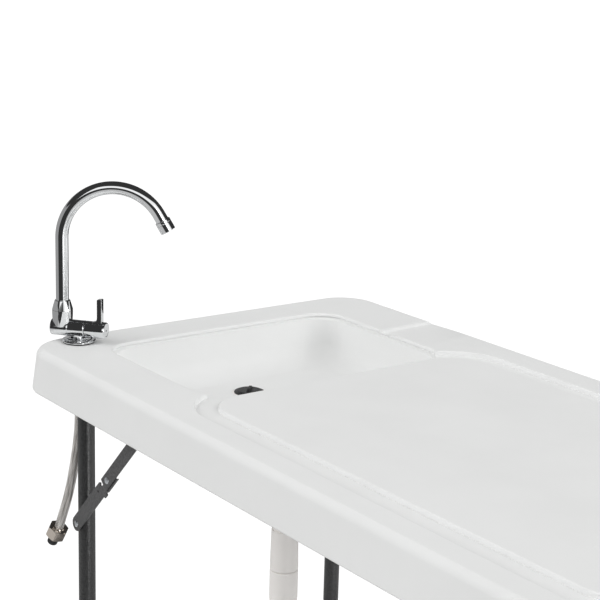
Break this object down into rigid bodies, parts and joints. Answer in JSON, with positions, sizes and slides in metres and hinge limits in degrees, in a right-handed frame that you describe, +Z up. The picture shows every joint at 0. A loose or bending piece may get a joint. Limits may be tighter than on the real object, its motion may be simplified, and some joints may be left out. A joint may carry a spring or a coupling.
{
  "type": "fish cleaning table",
  "caption": "Folding fish cleaning table with a moulded top, sink, cutting board, gooseneck tap, drain hose and locking folding legs.",
  "frame": {"origin": "on the floor, under the middle of the top", "axes": "+Z up, +X along the table away from the tap end, +Y away from the near long side where the tap stands"},
  "size_m": [1.1554, 0.6094, 1.1749],
  "materials": {
    "white_plastic": "white moulded polyethylene, fine satin grain",
    "pipe_plastic": "white pipe plastic, smooth satin",
    "hammered_steel": "dark grey hammertone powder coat",
    "chrome": "polished chrome plate",
    "nickel": "polished nickel plate, warm",
    "zinc": "zinc plate",
    "rubber": "black rubber",
    "braid": "braided stainless wire"
  },
  "bodies": {
    "table": {"table_top": "white_plastic", "near_left_pivot_bracket": "hammered_steel", "far_left_pivot_bracket": "hammered_steel", "near_right_pivot_bracket": "hammered_steel", "far_right_pivot_bracket": "hammered_steel", "near_left_stay_bracket": "hammered_steel", "far_left_stay_bracket": "hammered_steel", "near_right_stay_bracket": "hammered_steel", "far_right_stay_bracket": "hammered_steel", "tap_gasket": "rubber", "tap_flange": "chrome", "tap_shank": "nickel", "tap_washer": "zinc", "tap_lock_nut": "nickel", "tap_body": "chrome", "collar_nut": "chrome", "supply_swivel_nut": "nickel", "supply_top_ferrule": "zinc", "supply_hose": "braid", "supply_end_nut": "nickel", "supply_stopper": "rubber", "drain_flange": "pipe_plastic", "drain_gasket": "rubber", "drain_lock_nut": "pipe_plastic", "drain_slip_nut": "pipe_plastic", "drain_offset_pipe": "pipe_plastic", "drain_hose_cuff": "pipe_plastic", "drain_hose": "pipe_plastic", "drain_hose_end": "pipe_plastic"},
    "left_frame": {"left_leg_frame": "hammered_steel", "near_left_foot_cap": "rubber", "far_left_foot_cap": "rubber", "near_left_leg_rivet": "zinc", "far_left_leg_rivet": "zinc"},
    "right_frame": {"right_leg_frame": "hammered_steel", "near_right_foot_cap": "rubber", "far_right_foot_cap": "rubber", "near_right_leg_rivet": "zinc", "far_right_leg_rivet": "zinc"},
    "left_lower_links": {"near_left_lower_link": "hammered_steel", "far_left_lower_link": "hammered_steel"},
    "left_upper_links": {"near_left_upper_link": "hammered_steel", "far_left_upper_link": "hammered_steel"},
    "right_lower_links": {"near_right_lower_link": "hammered_steel", "far_right_lower_link": "hammered_steel"},
    "right_upper_links": {"near_right_upper_link": "hammered_steel", "far_right_upper_link": "hammered_steel"},
    "gooseneck": {"spout": "chrome", "aerator": "chrome"},
    "lever": {"tap_lever": "chrome"},
    "plug": {"sink_plug": "rubber"}
  },
  "joints": [
    {"name": "left_fold", "type": "hinge", "parent": "table", "child": "left_frame", "pos_m": [-0.5081, 0, 0.91], "axis": [0, -1, 0], "range_deg": [0, 90]},
    {"name": "left_lower_stay", "type": "hinge", "parent": "left_frame", "child": "left_lower_links", "pos_m": [-0.5081, 0, 0.6717], "axis": [0, 1, 0], "range_deg": [0, 138.4]},
    {"name": "left_upper_stay", "type": "hinge", "parent": "table", "child": "left_upper_links", "pos_m": [-0.29685, 0, 0.8878], "axis": [0, -1, 0], "range_deg": [0, 139.8]},
    {"name": "right_fold", "type": "hinge", "parent": "table", "child": "right_frame", "pos_m": [0.5081, 0, 0.881], "axis": [0, 1, 0], "range_deg": [0, 90]},
    {"name": "right_lower_stay", "type": "hinge", "parent": "right_frame", "child": "right_lower_links", "pos_m": [0.5081, 0, 0.6663], "axis": [0, -1, 0], "range_deg": [0, 139.3]},
    {"name": "right_upper_stay", "type": "hinge", "parent": "table", "child": "right_upper_links", "pos_m": [0.32048, 0, 0.9032], "axis": [0, 1, 0], "range_deg": [0, 122.6]},
    {"name": "spout_swivel", "type": "hinge", "parent": "table", "child": "gooseneck", "pos_m": [-0.55134, -0.24231, 1], "axis": [0, 0, 1], "continuous": true},
    {"name": "tap_turn", "type": "hinge", "parent": "table", "child": "lever", "pos_m": [-0.5325, -0.2265, 0.96], "axis": [0.766, 0.6428, 0], "range_deg": [0, 90]},
    {"name": "plug_lift", "type": "slide", "parent": "table", "child": "plug", "axis": [0, 0, 1], "range_m": [0, 0.08]}
  ],
  "couplings": [
    {"joint": "left_lower_stay", "follows": "left_fold", "ratio": 1.5374},
    {"joint": "left_upper_stay", "follows": "left_fold", "ratio": 1.5533},
    {"joint": "right_lower_stay", "follows": "right_fold", "ratio": 1.5476},
    {"joint": "right_upper_stay", "follows": "right_fold", "ratio": 1.3622}
  ]
}
